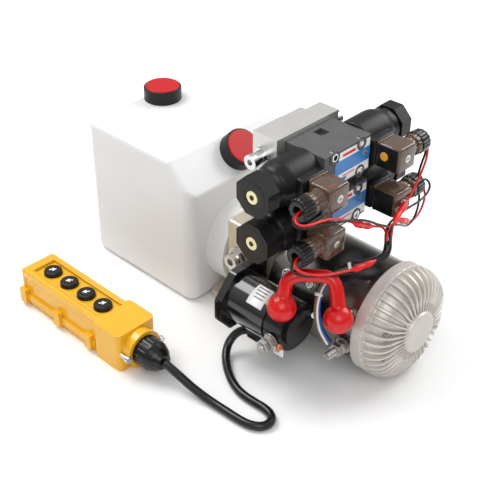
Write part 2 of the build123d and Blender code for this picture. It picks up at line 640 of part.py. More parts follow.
def cord(name, points, diameter):
    """A round cord along straight runs joined by tangent arcs."""
    radii = corner_radii(points)
    path = FilletPolyline(*points, radius=radii)
    start = Plane(origin=points[0], z_dir=Vector(*points[1]) - Vector(*points[0]))
    solid = sweep(start * Circle(diameter / 2), path)
    expected = math.pi * diameter ** 2 / 4 * path.length
    print(f"{name}: length {path.length:.0f}, least radius {min(radii):.1f} "
          f"({min(radii) / diameter:.1f} diameters), volume ratio {solid.volume / expected:.4f}")
    return solid


# The pendant's cord: out of the gland, along the floor, round one loose bend
# and up into the clip under the contactor.
CORD_ROUTE = [
    (9.0, -178.0, 23.0), (24.0, -177.6, 20.0), (42.0, -175.5, 12.5), (62.0, -172.5, 6.5),
    (83.0, -170.5, 4.6), (101.0, -170.0, 4.6), (115.0, -168.5, 4.6), (126.5, -163.0, 4.6),
    (130.5, -152.5, 4.6), (124.5, -143.5, 4.6), (112.0, -140.5, 4.6), (96.0, -142.0, 4.6),
    (78.0, -141.5, 4.6), (60.0, -135.0, 4.6), (43.0, -124.0, 4.6), (29.5, -112.5, 7.0),
    (23.5, -101.0, 14.5), (27.0, -91.5, 24.0), (38.0, -87.0, 30.5), (50.0, -86.0, 33.0),
]

# The loom's sheath: from the mouth where the plugs' leads go in, over the motor's
# end and down its side to the motor's terminal stud.
LOOM_ROUTE = [
    (136.5, 7.0, 143.0), (139.5, 4.0, 135.0), (140.5, -5.5, 130.5), (135.0, -17.0, 129.0),
    (126.0, -26.0, 126.0), (116.0, -34.0, 121.5), (108.5, -42.5, 115.5), (105.0, -51.5, 107.0),
    (106.0, -59.5, 96.5), (109.0, -65.0, 85.0), (113.5, -67.8, 73.0), (120.0, -68.5, 61.5),
    (129.0, -67.5, 53.0),
]

# The leads leave the plugs' glands in pairs, one red and one black. The upper
# four and the right-hand ones end side by side in the loom's mouth, and the
# lower left pair goes in at the loom's first bend.
LEAD_ROUTES = {
    "red_1_left": [
        (106.5, -89.0, 210.0), (107.5, -99.0, 209.5), (112.0, -107.5, 208.5),
        (120.0, -108.5, 207.5), (124.0, -100.5, 206.0), (124.0, -88.0, 204.0),
        (124.0, -72.0, 200.0),
        (125.0, -56.0, 192.5), (126.5, -42.0, 183.5), (127.5, -28.0, 174.0),
        (128.5, -12.0, 165.5)],
    "black_1_left": [
        (103.5, -89.0, 209.5), (104.0, -99.0, 207.5), (109.0, -106.0, 202.5),
        (116.0, -101.0, 198.5), (120.0, -88.0, 197.0), (123.5, -71.0, 194.5),
        (126.5, -53.0, 190.0), (129.0, -36.0, 184.5), (131.0, -20.0, 176.5),
        (132.0, -6.0, 166.0)],
    "red_2_left": [
        (106.5, -89.0, 159.5), (107.5, -99.0, 159.0), (113.5, -106.0, 157.5),
        (120.5, -102.5, 153.0), (124.0, -91.5, 147.0), (127.0, -77.0, 140.5),
        (130.0, -60.0, 136.0), (133.0, -43.0, 132.5), (136.0, -28.0, 131.0),
        (138.5, -15.0, 131.5), (140.5, -3.5, 132.5)],
    "black_2_left": [
        (103.5, -89.0, 159.0), (104.0, -99.0, 157.0), (109.0, -106.0, 152.0),
        (116.0, -101.5, 147.0), (121.0, -88.0, 142.0), (126.0, -71.0, 136.5),
        (130.5, -53.0, 131.0), (134.5, -37.0, 128.0), (137.5, -23.5, 127.5),
        (139.5, -11.0, 129.0)],
    "red_1_right": [
        (103.5, 89.0, 209.5), (104.0, 100.0, 207.5), (107.0, 106.0, 198.5),
        (110.5, 100.0, 186.5), (114.0, 86.0, 174.5), (118.5, 68.5, 165.5),
        (123.0, 50.0, 159.0), (127.5, 32.0, 156.5)],
    "black_1_right": [
        (106.5, 89.0, 208.5), (107.0, 99.5, 205.5), (107.5, 102.5, 195.0),
        (107.5, 96.0, 182.0), (108.5, 89.5, 167.0), (112.5, 91.0, 152.5),
        (116.5, 86.0, 138.5), (120.5, 73.0, 129.5), (124.5, 56.5, 131.5),
        (128.5, 42.0, 141.0), (131.0, 27.5, 150.5)],
    "red_2_right": [
        (103.5, 89.0, 158.5), (104.0, 99.5, 157.0), (106.5, 108.0, 149.5),
        (110.0, 107.5, 137.0), (113.0, 97.0, 126.5), (116.5, 81.5, 124.5),
        (120.5, 65.0, 131.0), (124.5, 50.0, 141.5), (128.5, 35.0, 150.0)],
    "black_2_right": [
        (106.5, 89.0, 159.5), (107.0, 99.5, 161.0), (109.0, 108.5, 159.0),
        (112.5, 111.0, 151.0), (115.0, 102.5, 146.5), (117.5, 87.0, 146.0), (120.5, 69.0, 149.5),
        (124.0, 52.0, 154.0), (127.5, 36.0, 157.5)],
}
BEND_LEADS = ("red_2_left", "black_2_left")


def mouth_lanes():
    """Where each lead of the mouth ends, and the point it passes just before."""
    top, second = Vector(*LOOM_ROUTE[0]), Vector(*LOOM_ROUTE[1])
    mouth = Plane(origin=top, z_dir=second - top)
    lanes = {}
    names = [name for name in LEAD_ROUTES if name not in BEND_LEADS]
    for step, name in enumerate(names):
        turn = math.radians(LANE_START + step * 360 / len(names))
        x, y = LANE_R * math.cos(turn), LANE_R * math.sin(turn)
        ends = [mouth.from_local_coords(Vector(x * grow, y * grow, -back))
                for grow, back in ((1.3, 14.0), (1.0, 0.0))]
        lanes[name] = [(end.X, end.Y, end.Z) for end in ends]
    return lanes


def plug_leads():
    lanes = mouth_lanes()
    return [cord(name, points + lanes.get(name, []), LEAD_D)
            for name, points in LEAD_ROUTES.items()]


def main():
    os.makedirs("parts", exist_ok=True)
    save("tank", tank())
    top_place = Pos(CAP_X, CAP_Y, TANK_H)
    save("filler_cap", top_place * cap_shell())
    save("filler_cap_disc", top_place * cap_disc())
    save("side_cap", bevel_place() * cap_shell())
    save("side_cap_disc", bevel_place() * cap_disc())
    pump()
    save("manifold", manifold())
    save("relief_cartridge", relief_cartridge())
    save("manifold_plugs", *manifold_plugs())
    save("valve_tower", valve_tower())
    save("tower_cartridges", *tower_cartridges())
    valves()
    save("motor_body", motor_body())
    save("motor_end_housing", end_housing())
    save("motor_rotor", motor_rotor())
    save("motor_bearings", *motor_bearings())
    save("motor_bolts", *motor_bolts())
    save("field_magnets", *field_magnets())
    save("contactor_bracket", contactor_bracket())
    save("cord_clip", cord_clip())
    save("contactor_can", contactor_can())
    save("contactor_coil", contactor_coil())
    save("contactor_plunger", contactor_plunger())
    save("contactor_head", contactor_head())
    save("terminal_studs", *terminal_studs())
    save("terminal_link", terminal_link())
    save("pendant_housing", pendant_housing())
    for number, x in enumerate(BUTTON_XS, start=1):
        save(f"pendant_button_{number}", pendant_button(x))
    save("pendant_gland", pendant_gland())
    save("pendant_screws", *pendant_screws())
    save("pendant_cord", cord("pendant_cord", CORD_ROUTE, CORD_D))
    save("wiring_loom", cord("wiring_loom", LOOM_ROUTE, LOOM_D))
    save("plug_leads", *plug_leads())


main()
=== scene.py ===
import json
import math

import bmesh
import bpy
from mathutils import Matrix, Vector


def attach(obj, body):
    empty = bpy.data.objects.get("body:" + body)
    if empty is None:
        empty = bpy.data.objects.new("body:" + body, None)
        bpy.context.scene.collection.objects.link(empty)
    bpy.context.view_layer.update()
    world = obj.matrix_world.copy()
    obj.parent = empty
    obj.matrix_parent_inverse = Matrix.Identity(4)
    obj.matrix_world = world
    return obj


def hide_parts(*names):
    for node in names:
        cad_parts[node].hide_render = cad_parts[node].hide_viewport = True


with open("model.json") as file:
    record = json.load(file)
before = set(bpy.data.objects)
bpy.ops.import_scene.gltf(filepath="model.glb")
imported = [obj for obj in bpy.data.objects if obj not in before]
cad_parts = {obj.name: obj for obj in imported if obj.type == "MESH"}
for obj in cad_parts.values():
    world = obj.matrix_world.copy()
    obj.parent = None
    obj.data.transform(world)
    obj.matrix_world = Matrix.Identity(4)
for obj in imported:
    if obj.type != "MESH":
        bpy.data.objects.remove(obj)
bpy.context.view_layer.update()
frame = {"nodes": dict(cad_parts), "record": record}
MM = 0.001
SIDES = ((-1, "left"), (1, "right"))
WHITE = (0.86, 0.86, 0.85)


# ---- materials ----
def material(name, base, rough, metal=0.0, vary=0.12, grain=300.0, bump=0.05,
             mottle=30.0, stretch=(1.0, 1.0, 1.0), **sockets):
    """A procedural finish: slow mottling of the colour, fine grain in the gloss and relief."""
    mat = bpy.data.materials.new(name)
    mat.use_nodes = True
    nodes, links = mat.node_tree.nodes, mat.node_tree.links
    shader = nodes["Principled BSDF"]
    coords = nodes.new("ShaderNodeTexCoord")
    mapping = nodes.new("ShaderNodeMapping")
    mapping.inputs["Scale"].default_value = stretch
    links.new(coords.outputs["Object"], mapping.inputs["Vector"])
    slow = nodes.new("ShaderNodeTexNoise")
    slow.inputs["Scale"].default_value = mottle
    slow.inputs["Detail"].default_value = 4.0
    links.new(coords.outputs["Object"], slow.inputs["Vector"])
    ramp = nodes.new("ShaderNodeValToRGB")
    ramp.color_ramp.elements[0].position = 0.3
    ramp.color_ramp.elements[1].position = 0.7
    ramp.color_ramp.elements[0].color = (*[c * (1 - vary) for c in base], 1)
    ramp.color_ramp.elements[1].color = (*[min(1.0, c * (1 + vary)) for c in base], 1)
    links.new(slow.outputs["Fac"], ramp.inputs["Fac"])
    links.new(ramp.outputs["Color"], shader.inputs["Base Color"])
    fine = nodes.new("ShaderNodeTexNoise")
    fine.inputs["Scale"].default_value = grain
    fine.inputs["Detail"].default_value = 6.0
    links.new(mapping.outputs["Vector"], fine.inputs["Vector"])
    gloss = nodes.new("ShaderNodeMapRange")
    gloss.inputs["To Min"].default_value = max(0.03, rough * 0.75)
    gloss.inputs["To Max"].default_value = min(1.0, rough * 1.25)
    links.new(fine.outputs["Fac"], gloss.inputs["Value"])
    links.new(gloss.outputs["Result"], shader.inputs["Roughness"])
    relief = nodes.new("ShaderNodeBump")
    relief.inputs["Strength"].default_value = bump
    relief.inputs["Distance"].default_value = 0.0004
    links.new(fine.outputs["Fac"], relief.inputs["Height"])
    links.new(relief.outputs["Normal"], shader.inputs["Normal"])
    shader.inputs["Metallic"].default_value = metal
    for socket, value in sockets.items():
        shader.inputs[socket.replace("_", " ")].default_value = value
    return mat


MATS = {
    "tank_plastic": material("tank_plastic", (0.71, 0.71, 0.71), 0.36, vary=0.015, grain=900.0, bump=0.05,
                             mottle=9.0),
    "cap_black": material("cap_black", (0.008, 0.008, 0.008), 0.42, grain=700.0, bump=0.12,
                          Specular_IOR_Level=0.3),
    "cap_red": material("cap_red", (0.46, 0.003, 0.006), 0.34, vary=0.04, grain=900.0, bump=0.04,
                        Specular_IOR_Level=0.3),
    "cast_aluminium": material("cast_aluminium", (0.60, 0.57, 0.53), 0.46, metal=0.55, vary=0.05,
                               grain=1100.0, bump=0.35, mottle=45.0),
    "machined_aluminium": material("machined_aluminium", (0.66, 0.65, 0.63), 0.36, metal=0.75, vary=0.05,
                                   grain=260.0, bump=0.12, stretch=(6.0, 0.5, 6.0)),
    "manifold_aluminium": material("manifold_aluminium", (0.66, 0.59, 0.48), 0.40, metal=0.55, vary=0.07,
                                   grain=260.0, bump=0.12, stretch=(6.0, 6.0, 0.5)),
    "steel": material("steel", (0.46, 0.44, 0.41), 0.30, metal=1.0, vary=0.15, grain=600.0, bump=0.05),
    "chrome_steel": material("chrome_steel", (0.66, 0.66, 0.66), 0.16, metal=1.0, vary=0.06, grain=500.0,
                             bump=0.02),
    "coil_plastic": material("coil_plastic", (0.006, 0.006, 0.006), 0.36, vary=0.2, grain=1200.0, bump=0.12,
                             Specular_IOR_Level=0.28),
    "valve_grey": material("valve_grey", (0.075, 0.075, 0.075), 0.52, vary=0.08, grain=1500.0, bump=0.3,
                           mottle=60.0),
    "pin_cream": material("pin_cream", (0.82, 0.74, 0.42), 0.38, vary=0.05),
    "smoked_plastic": material("smoked_plastic", (0.34, 0.20, 0.13), 0.10, vary=0.06, grain=200.0, bump=0.01,
                               Transmission_Weight=0.75, IOR=1.45, Coat_Weight=0.3, Coat_Roughness=0.05),
    "motor_steel": material("motor_steel", (0.20, 0.19, 0.175), 0.30, metal=1.0, vary=0.14, grain=420.0,
                            bump=0.05, mottle=14.0, stretch=(0.25, 3.0, 3.0)),
    "magnet_black": material("magnet_black", (0.05, 0.05, 0.05), 0.6),
    "contactor_black": material("contactor_black", (0.008, 0.008, 0.008), 0.14, vary=0.2, grain=300.0,
                                bump=0.03, Coat_Weight=0.5, Coat_Roughness=0.06),
    "head_black": material("head_black", (0.007, 0.007, 0.007), 0.22, vary=0.2, grain=500.0,
                           Specular_IOR_Level=0.4),
    "copper": material("copper", (0.62, 0.22, 0.10), 0.28, metal=1.0, vary=0.12),
    "red_vinyl": material("red_vinyl", (0.62, 0.002, 0.003), 0.24, vary=0.03, grain=500.0, bump=0.02,
                          Specular_IOR_Level=0.4, Coat_Weight=0.12, Coat_Roughness=0.06),
    "pendant_yellow": material("pendant_yellow", (0.80, 0.42, 0.012), 0.24, vary=0.03, grain=700.0,
                               bump=0.05, Coat_Weight=0.2, Coat_Roughness=0.1),
    "button_black": material("button_black", (0.010, 0.009, 0.008), 0.38, grain=900.0, bump=0.1,
                             Specular_IOR_Level=0.3),
    "gland_black": material("gland_black", (0.006, 0.006, 0.006), 0.2, vary=0.2, grain=400.0,
                            Specular_IOR_Level=0.4),
    "cord_black": material("cord_black", (0.007, 0.007, 0.007), 0.26, vary=0.2, grain=700.0, bump=0.08,
                           Specular_IOR_Level=0.45),
    "lead_red": material("lead_red", (0.68, 0.006, 0.008), 0.32, vary=0.06, grain=700.0),
    "lead_white": material("lead_white", WHITE, 0.34, vary=0.05),
    "lead_blue": material("lead_blue", (0.02, 0.10, 0.45), 0.32, vary=0.08),
    "lead_brown": material("lead_brown", (0.20, 0.10, 0.06), 0.36, vary=0.08),
    "label_white": material("label_white", (0.80, 0.80, 0.80), 0.35, vary=0.03, bump=0.02),
    "label_blue": material("label_blue", (0.03, 0.20, 0.52), 0.32, vary=0.05, bump=0.02),
    "label_gold": material("label_gold", (0.70, 0.52, 0.12), 0.3, metal=0.6, vary=0.1),
    "disc_orange": material("disc_orange", (0.72, 0.34, 0.03), 0.3, vary=0.08),
    "floor": material("floor", (0.90, 0.90, 0.90), 0.55, vary=0.004, bump=0.0),
}
MATS["wire_black"] = MATS["cord_black"]

SLOT_OF = {row["node"]: row["material_slot"] for row in frame["record"]["subparts"]}

# Edge radii in millimetres; a node that is not named here keeps its own edges.
ROUNDED = {"manifold": 0.8, "valve_tower": 0.8, "contactor_bracket": 0.3, "motor_body": 0.3,
           "valve_1_body": 0.5, "valve_2_body": 0.5, "plug_1_left": 0.6, "plug_1_right": 0.6,
           "plug_2_left": 0.6, "plug_2_right": 0.6, "pendant_housing": 0.8}
WELD_GAP = 0.00001
ROUND_ABOVE = math.radians(38)
CRISP_ABOVE = math.radians(32)


def finish_nodes():
    """Every carried-over CAD node gets its slot's finish, smooth curves and crisp or rounded edges."""
    for name, node in frame["nodes"].items():
        node.data.materials.clear()
        node.data.materials.append(MATS[SLOT_OF[name]])
        node.data.polygons.foreach_set("use_smooth", [True] * len(node.data.polygons))
        weld = node.modifiers.new("weld", "WELD")
        weld.merge_threshold = WELD_GAP
        if name in ROUNDED:
            bevel = node.modifiers.new("edges", "BEVEL")
            bevel.width = ROUNDED[name] * MM
            bevel.segments = 2
            bevel.limit_method = "ANGLE"
            bevel.angle_limit = ROUND_ABOVE
            bevel.use_clamp_overlap = True
        split = node.modifiers.new("crisp", "EDGE_SPLIT")
        split.split_angle = CRISP_ABOVE
        even = node.modifiers.new("even", "WEIGHTED_NORMAL")
        even.keep_sharp = True


# ---- mesh makers ----
def piece(name, verts, faces, mat, body="root", slot=None, smooth=40.0):
    """A mesh object that rides on a body; edges sharper than `smooth` degrees stay crisp."""
    mesh = bpy.data.meshes.new(name)
    mesh.from_pydata([tuple(v) for v in verts], [], faces)
    work = bmesh.new()
    work.from_mesh(mesh)
    bmesh.ops.remove_doubles(work, verts=work.verts, dist=1e-6)
    bmesh.ops.recalc_face_normals(work, faces=work.faces)
    work.to_mesh(mesh)
    work.free()
    mesh.materials.append(MATS[mat])
    obj = bpy.data.objects.new(name, mesh)
    bpy.context.scene.collection.objects.link(obj)
    mesh.polygons.foreach_set("use_smooth", [True] * len(mesh.polygons))
    mesh.set_sharp_from_angle(angle=math.radians(smooth))
    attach(obj, body)
    return obj


def axes_of(direction):
    """A direction made unit length, and two unit vectors square to it."""
    along = Vector(direction).normalized()
    helper = Vector((0, 0, 1)) if abs(along.z) < 0.9 else Vector((1, 0, 0))
    side = along.cross(helper).normalized()
    return along, side, along.cross(side).normalized()


# A profile whose two ends both stand further off the axis than this closes into a ring.
RING_RADIUS = 0.5
LEAST_RADIUS = 0.001


def lathe(name, profile, origin, direction, mat, steps=64, **more):
    """Turn (distance along, radius) points, in millimetres, about an axis; a profile is a ring or capped."""
    along, side, up = axes_of(direction)
    base = Vector(origin) * MM
    verts, faces = [], []
    for distance, radius in profile:
        for step in range(steps):
            turn = 2 * math.pi * step / steps
            spoke = side * math.cos(turn) + up * math.sin(turn)
            verts.append(base + along * distance * MM + spoke * max(radius, LEAST_RADIUS) * MM)
    for ring in range(len(profile) - 1):
        for step in range(steps):
            a, b = ring * steps + step, ring * steps + (step + 1) % steps
            faces.append((a, b, b + steps, a + steps))
    last = len(verts) - steps
    if min(profile[0][1], profile[-1][1]) > RING_RADIUS:
        for step in range(steps):
            after = (step + 1) % steps
            faces.append((last + step, last + after, after, step))
    else:
        faces.append(tuple(range(steps)))
        faces.append(tuple(range(last, len(verts))))
    return piece(name, verts, faces, mat, **more)


def rounded(profile, radius, steps=5):
    """Round the inner corners of a (distance, radius) profile."""
    points = [Vector(p) for p in profile]
    out = [points[0]]
    for before, corner, after in zip(points, points[1:], points[2:]):
        back, ahead = before - corner, after - corner
        reach = min(radius, back.length * 0.45, ahead.length * 0.45)
        start, end = corner + back.normalized() * reach, corner + ahead.normalized() * reach
        for step in range(steps + 1):
            t = step / steps
            out.append(start * (1 - t) ** 2 + corner * 2 * t * (1 - t) + end * t ** 2)
    out.append(points[-1])
    return [tuple(p) for p in out]


def block(name, low, high, mat, bevel=1.0, segments=3, **more):
    """A block between two corners in millimetres, with rounded edges."""
    corners = [(x, y, z) for x in (low[0], high[0]) for y in (low[1], high[1]) for z in (low[2], high[2])]
    faces = [(0, 1, 3, 2), (4, 6, 7, 5), (0, 4, 5, 1), (2, 3, 7, 6), (0, 2, 6, 4), (1, 5, 7, 3)]
    work = bmesh.new()
    verts = [work.verts.new(Vector(c) * MM) for c in corners]
    for face in faces:
        work.faces.new([verts[i] for i in face])
    bmesh.ops.bevel(work, geom=work.edges[:], offset=bevel * MM, segments=segments,
                    profile=0.5, affect="EDGES")
    points = [v.co.copy() for v in work.verts]
    work.verts.index_update()
    made = [tuple(v.index for v in f.verts) for f in work.faces]
    work.free()
    return piece(name, points, made, mat, **more)


def sweep_rings(points, radii, sides=12):
    """Verts and faces of a closed tube through points, in metres, with a radius at each."""
    verts, faces = [], []
    side = axes_of(points[1] - points[0])[1]
    for index, (point, radius) in enumerate(zip(points, radii)):
        before, after = points[max(index - 1, 0)], points[min(index + 1, len(points) - 1)]
        along = (after - before).normalized()
        side = (side - along * side.dot(along)).normalized()
        up = along.cross(side)
        for step in range(sides):
            turn = 2 * math.pi * step / sides
            verts.append(point + (side * math.cos(turn) + up * math.sin(turn)) * radius)
    for ring in range(len(points) - 1):
        for step in range(sides):
            a, b = ring * sides + step, ring * sides + (step + 1) % sides
            faces.append((a, b, b + sides, a + sides))
    faces.append(tuple(range(sides)))
    faces.append(tuple(range(len(verts) - sides, len(verts))))
    return verts, faces


# ---- camera, lights and floor ----
CAMERA_PLACE = (0.5851, -0.6674, 0.6862)
CAMERA_RIGHT = (0.7157, 0.6984, 0.0)
CAMERA_AHEAD = (-0.5773, 0.5916, -0.5628)
LENS = 73.875
SENSOR = 36.0
SHIFT_X = 1 / 96
# The sky's grey at two heights of its dome, from 0 below to 1 above.
SKY = ((0.02, (0.30, 0.30, 0.31)), (0.62, (1.0, 1.0, 1.0)))
SKY_STRENGTH = 0.74
# Place in metres, size in metres, power in watts.
LAMPS = (((-0.9, -0.3, 1.5), 0.9, 17.0), ((0.9, -1.0, 1.3), 1.1, 9.0), ((0.3, 1.3, 1.1), 1.0, 14.0))
LAMP_AIM = (0.0, 0.0, 0.1)
FLOOR_HALF = 30.0


def studio():
    """The photograph's viewpoint, a sky that brightens upwards, three soft lamps and a white floor."""
    right = Vector(CAMERA_RIGHT).normalized()
    ahead = Vector(CAMERA_AHEAD).normalized()
    up = right.cross(ahead).normalized()
    data = bpy.data.cameras.new("camera")
    data.lens = LENS
    data.sensor_width = SENSOR
    data.shift_x = SHIFT_X
    camera = bpy.data.objects.new("camera", data)
    turn = Matrix((right, up, -ahead)).transposed().to_4x4()
    camera.matrix_world = Matrix.Translation(CAMERA_PLACE) @ turn
    bpy.context.scene.collection.objects.link(camera)
    bpy.context.scene.camera = camera
    world = bpy.data.worlds.new("world")
    world.use_nodes = True
    nodes, links = world.node_tree.nodes, world.node_tree.links
    coords = nodes.new("ShaderNodeTexCoord")
    split = nodes.new("ShaderNodeSeparateXYZ")
    ramp = nodes.new("ShaderNodeValToRGB")
    for element, (height, tone) in zip(ramp.color_ramp.elements, SKY):
        element.position = height
        element.color = (*tone, 1)
    links.new(coords.outputs["Generated"], split.inputs["Vector"])
    links.new(split.outputs["Z"], ramp.inputs["Fac"])
    links.new(ramp.outputs["Color"], nodes["Background"].inputs["Color"])
    nodes["Background"].inputs["Strength"].default_value = SKY_STRENGTH
    bpy.context.scene.world = world
    for number, (place, size, power) in enumerate(LAMPS):
        lamp = bpy.data.lights.new(f"softbox_{number}", "AREA")
        lamp.size = size
        lamp.energy = power
        obj = bpy.data.objects.new(f"softbox_{number}", lamp)
        obj.location = place
        aim = Vector(LAMP_AIM) - Vector(place)
        obj.rotation_euler = aim.to_track_quat("-Z", "Y").to_euler()
        bpy.context.scene.collection.objects.link(obj)
    half = FLOOR_HALF
    mesh = bpy.data.meshes.new("floor")
    mesh.from_pydata([(-half, -half, 0), (half, -half, 0), (half, half, 0), (-half, half, 0)],
                     [], [(0, 1, 2, 3)])
    mesh.materials.append(MATS["floor"])
    floor = bpy.data.objects.new("floor", mesh)
    bpy.context.scene.collection.objects.link(floor)
    bpy.context.scene.view_settings.view_transform = "Standard"


# ---- cords and leads ----
# Routes in millimetres; a lead is its real length, also in millimetres, and its route.
PENDANT_CORD = [
    (9.0, -178.0, 23.0), (24.0, -177.6, 20.0), (42.0, -175.5, 12.5), (62.0, -172.5, 6.5),
    (83.0, -170.5, 4.6), (101.0, -170.0, 4.6), (115.0, -168.5, 4.6), (126.5, -163.0, 4.6),
    (130.5, -152.5, 4.6), (124.5, -143.5, 4.6), (112.0, -140.5, 4.6), (96.0, -142.0, 4.6),
    (78.0, -141.5, 4.6), (60.0, -135.0, 4.6), (43.0, -124.0, 4.6), (29.5, -112.5, 7.0),
    (23.5, -101.0, 14.5), (27.0, -91.5, 24.0), (38.0, -87.0, 30.5), (50.0, -86.0, 33.0),
]
LOOM = [
    (136.5, 7.0, 143.0), (139.5, 4.0, 135.0), (140.5, -5.5, 130.5), (135.0, -17.0, 129.0),
    (126.0, -26.0, 126.0), (116.0, -34.0, 121.5), (108.5, -42.5, 115.5), (105.0, -51.5, 107.0),
    (106.0, -59.5, 96.5), (109.0, -65.0, 85.0), (113.5, -67.8, 73.0), (120.0, -68.5, 61.5),
    (129.0, -67.5, 53.0),
]
LEADS = {
    "red_1_left": (170, [
        (106.5, -89.0, 210.0), (107.5, -99.0, 209.5), (112.0, -107.5, 208.5),
        (120.0, -108.5, 207.5), (124.0, -100.5, 206.0), (124.0, -88.0, 204.0),
        (124.0, -72.0, 200.0), (125.0, -56.0, 192.5), (126.5, -42.0, 183.5),
        (127.5, -28.0, 174.0), (128.5, -12.0, 165.5)]),
    "black_1_left": (160, [
        (103.5, -89.0, 209.5), (104.0, -99.0, 207.5), (109.0, -106.0, 202.5),
        (116.0, -101.0, 198.5), (120.0, -88.0, 197.0), (123.5, -71.0, 194.5),
        (126.5, -53.0, 190.0), (129.0, -36.0, 184.5), (131.0, -20.0, 176.5),
        (132.0, -6.0, 166.0)]),
    "red_2_left": (132, [
        (106.5, -89.0, 159.5), (107.5, -99.0, 159.0), (113.5, -106.0, 157.5),
        (120.5, -102.5, 153.0), (124.0, -91.5, 147.0), (127.0, -77.0, 140.5),
        (130.0, -60.0, 136.0), (133.0, -43.0, 132.5), (136.0, -28.0, 131.0),
        (138.5, -15.0, 131.5), (140.5, -3.5, 132.5)]),
    "black_2_left": (125, [
        (103.5, -89.0, 159.0), (104.0, -99.0, 157.0), (109.0, -106.0, 152.0),
        (116.0, -101.5, 147.0), (121.0, -88.0, 142.0), (126.0, -71.0, 136.5),
        (130.5, -53.0, 131.0), (134.5, -37.0, 128.0), (137.5, -23.5, 127.5),
        (139.5, -11.0, 129.0)]),
    "red_1_right": (147, [
        (103.5, 89.0, 209.5), (104.0, 100.0, 207.5), (107.0, 106.0, 198.5),
        (110.5, 100.0, 186.5), (114.0, 86.0, 174.5), (118.5, 68.5, 165.5),
        (123.0, 50.0, 159.0), (127.5, 32.0, 156.5)]),
    "black_1_right": (176, [
        (106.5, 89.0, 208.5), (107.0, 99.5, 205.5), (107.5, 102.5, 195.0),
        (107.5, 96.0, 182.0), (108.5, 89.5, 167.0), (112.5, 91.0, 152.5),
        (116.5, 86.0, 138.5), (120.5, 73.0, 129.5), (124.5, 56.5, 131.5),
        (128.5, 42.0, 141.0), (131.0, 27.5, 150.5)]),
    "red_2_right": (152, [
        (103.5, 89.0, 158.5), (104.0, 99.5, 157.0), (106.5, 108.0, 149.5),
        (110.0, 107.5, 137.0), (113.0, 97.0, 126.5), (116.5, 81.5, 124.5),
        (120.5, 65.0, 131.0), (124.5, 50.0, 141.5), (128.5, 35.0, 150.0)]),
    "black_2_right": (142, [
        (106.5, 89.0, 159.5), (107.0, 99.5, 161.0), (109.0, 108.5, 159.0),
        (112.5, 111.0, 151.0), (115.0, 102.5, 146.5), (117.5, 87.0, 146.0),
        (120.5, 69.0, 149.5), (124.0, 52.0, 154.0), (127.5, 36.0, 157.5)]),
}
# These two join the loom at its first bend, the others in its mouth.
BEND_LEADS = ("red_2_left", "black_2_left")
LANE_R, LANE_START, LANE_FAN, LANE_BACK = 2.65, 200.0, 1.3, 14.0


def nurbs(name, points, diameter, mat):
    """A smooth round cord with the route's points as its control points."""
    data = bpy.data.curves.new(name, "CURVE")
    data.dimensions = "3D"
    spline = data.splines.new("NURBS")
    spline.points.add(len(points) - 1)
    for slot_point, (x, y, z) in zip(spline.points, points):
        slot_point.co = (x * MM, y * MM, z * MM, 1.0)
        slot_point.radius = diameter / 2 * MM
    spline.order_u = 3
    spline.use_endpoint_u = True
    spline.resolution_u = 12
    data.bevel_depth = 1.0
    data.bevel_resolution = 5
    data.use_fill_caps = True
    data.materials.append(MATS[mat])
    obj = bpy.data.objects.new(name, data)
    bpy.context.scene.collection.objects.link(obj)
    return obj


def line_of(obj):
    """The points along a cord's own spline, in metres."""
    depth = obj.data.bevel_depth
    obj.data.bevel_depth = 0.0
    bpy.context.view_layer.update()
    mesh = bpy.data.meshes.new_from_object(obj.evaluated_get(bpy.context.evaluated_depsgraph_get()))
    obj.data.bevel_depth = depth
    return [v.co.copy() for v in mesh.vertices]


def stretch_of(points, start, end, count=16):
    """Evenly spaced points between two distances along a line, in metres."""
    gone = [0.0]
    for a, b in zip(points, points[1:]):
        gone.append(gone[-1] + (b - a).length)
    out = []
    for step in range(count):
        want = start + (end - start) * step / (count - 1)
        index = max(i for i, g in enumerate(gone[:-1]) if g <= want)
        t = (want - gone[index]) / max(gone[index + 1] - gone[index], 1e-9)
        out.append(points[index].lerp(points[index + 1], min(t, 1.0)))
    return out


def mouth_lanes():
    """The last two points of each lead that ends in the loom's mouth, side by side there."""
    top, second = Vector(LOOM[0]), Vector(LOOM[1])
    down = (second - top).normalized()
    side = down.cross(Vector((0, 1, 0))).normalized()
    other = down.cross(side)
    names = [name for name in LEADS if name not in BEND_LEADS]
    lanes = {}
    for step, name in enumerate(names):
        turn = math.radians(LANE_START + step * 360 / len(names))
        out = (side * math.cos(turn) + other * math.sin(turn)) * LANE_R
        lanes[name] = [tuple(top + out * LANE_FAN - down * LANE_BACK), tuple(top + out)]
    return lanes


# Where each inline splice starts and ends along its lead, in metres, and its radii in millimetres.
SPLICES = {"red_1_left": (0.100, 0.136), "red_2_left": (0.088, 0.120),
           "red_1_right": (0.086, 0.124), "red_2_right": (0.084, 0.118)}
SPLICE_SHAPE = (1.3, 1.7, 2.6, 3.4, 3.5, 3.5, 3.4, 2.9, 2.9, 3.3, 3.3, 3.2, 2.5, 1.8, 1.4)


def cords():
    """The pendant's cord, the eight plug leads with their splices, and the loom."""
    cord = nurbs("pendant_lead", PENDANT_CORD, 9.0, "cord_black")
    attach(cord, "root")
    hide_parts("pendant_cord")
    lanes = mouth_lanes()
    for name, (length, points) in LEADS.items():
        colour = "lead_red" if name.startswith("red") else "wire_black"
        lead = nurbs(f"lead_{name}", points + lanes.get(name, []), 2.4, colour)
        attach(lead, "root")
        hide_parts("plug_leads")
        if name in SPLICES:
            start, end = SPLICES[name]
            line = stretch_of(line_of(lead), start, end, len(SPLICE_SHAPE))
            verts, faces = sweep_rings(line, [r * MM for r in SPLICE_SHAPE], 16)
            piece(f"splice_{name}", verts, faces, "lead_red", slot="red_vinyl")
    loom()


